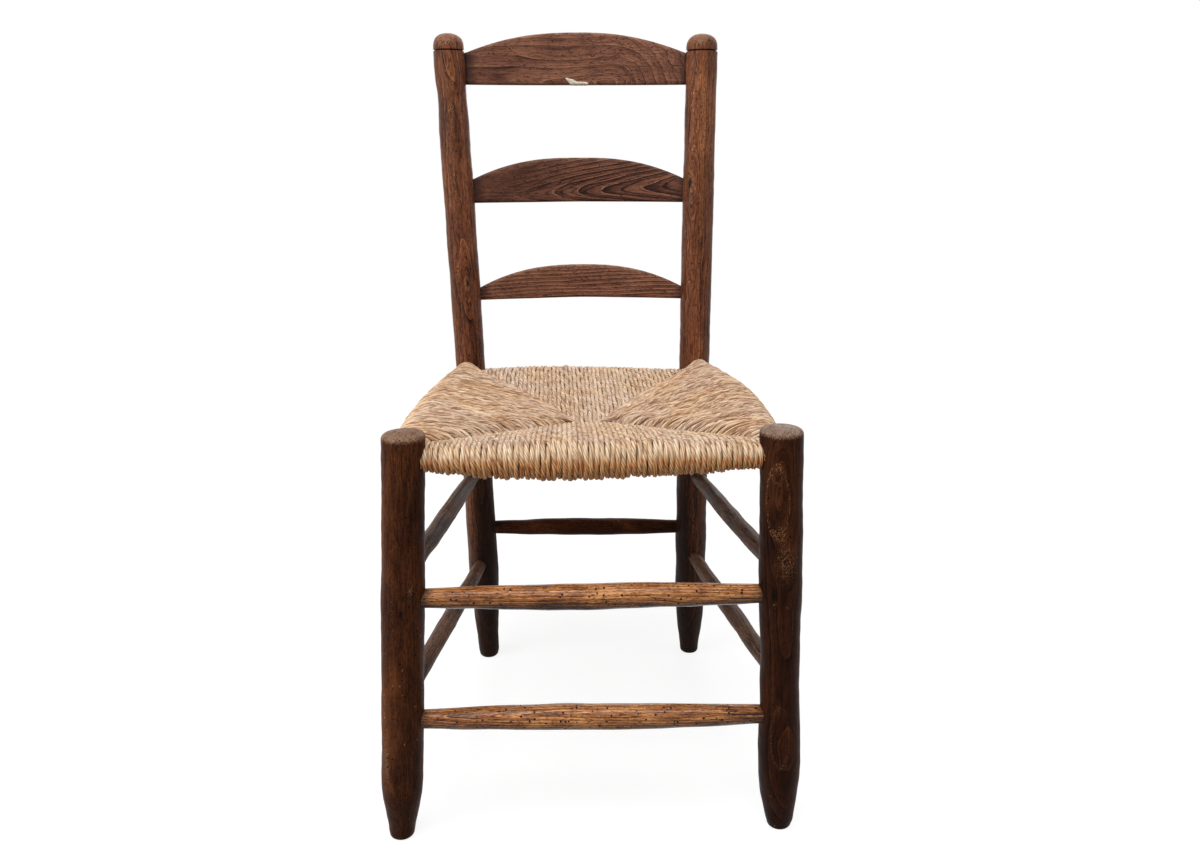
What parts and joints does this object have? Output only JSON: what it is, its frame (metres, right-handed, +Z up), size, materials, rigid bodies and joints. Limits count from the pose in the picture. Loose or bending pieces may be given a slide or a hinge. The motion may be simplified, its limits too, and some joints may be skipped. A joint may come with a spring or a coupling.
{
  "type": "rush-seated ladder-back chair",
  "caption": "Hand-made wooden dining chair with arched bowed slats between domed posts, turned rungs and a woven rush seat; worn, scratched and wormholed.",
  "frame": {"origin": "floor level, centred under the chair's bounding box", "axes": "+Z up; the front of the chair faces -Y, so the back leans towards +Y; +X is to the right seen from the front"},
  "size_m": [0.4462, 0.4664, 0.849],
  "materials": {
    "dark_wood": "dark stained and waxed, rubbed and speckled",
    "red_wood": "red-brown waxed wood with scratches and grime",
    "golden_wood": "golden-brown, polished by feet, dark grain and worm holes",
    "grey_wood": "grey-brown, hand-shaved, dusty",
    "rush": "dry twisted rush cord, straw to golden"
  },
  "bodies": {
    "root": {"front_leg_left": "dark_wood", "front_leg_right": "dark_wood", "back_post_left": "red_wood", "back_post_right": "red_wood", "top_slat": "red_wood", "middle_slat": "red_wood", "bottom_slat": "red_wood", "front_rung_upper": "golden_wood", "front_rung_lower": "golden_wood", "side_rung_left_upper": "grey_wood", "side_rung_left_lower": "grey_wood", "side_rung_right_upper": "grey_wood", "side_rung_right_lower": "grey_wood", "back_rung": "dark_wood", "seat_rail_front": "dark_wood", "seat_rail_right": "dark_wood", "seat_rail_back": "dark_wood", "seat_rail_left": "dark_wood", "rush_seat": "rush"}
  },
  "joints": []
}
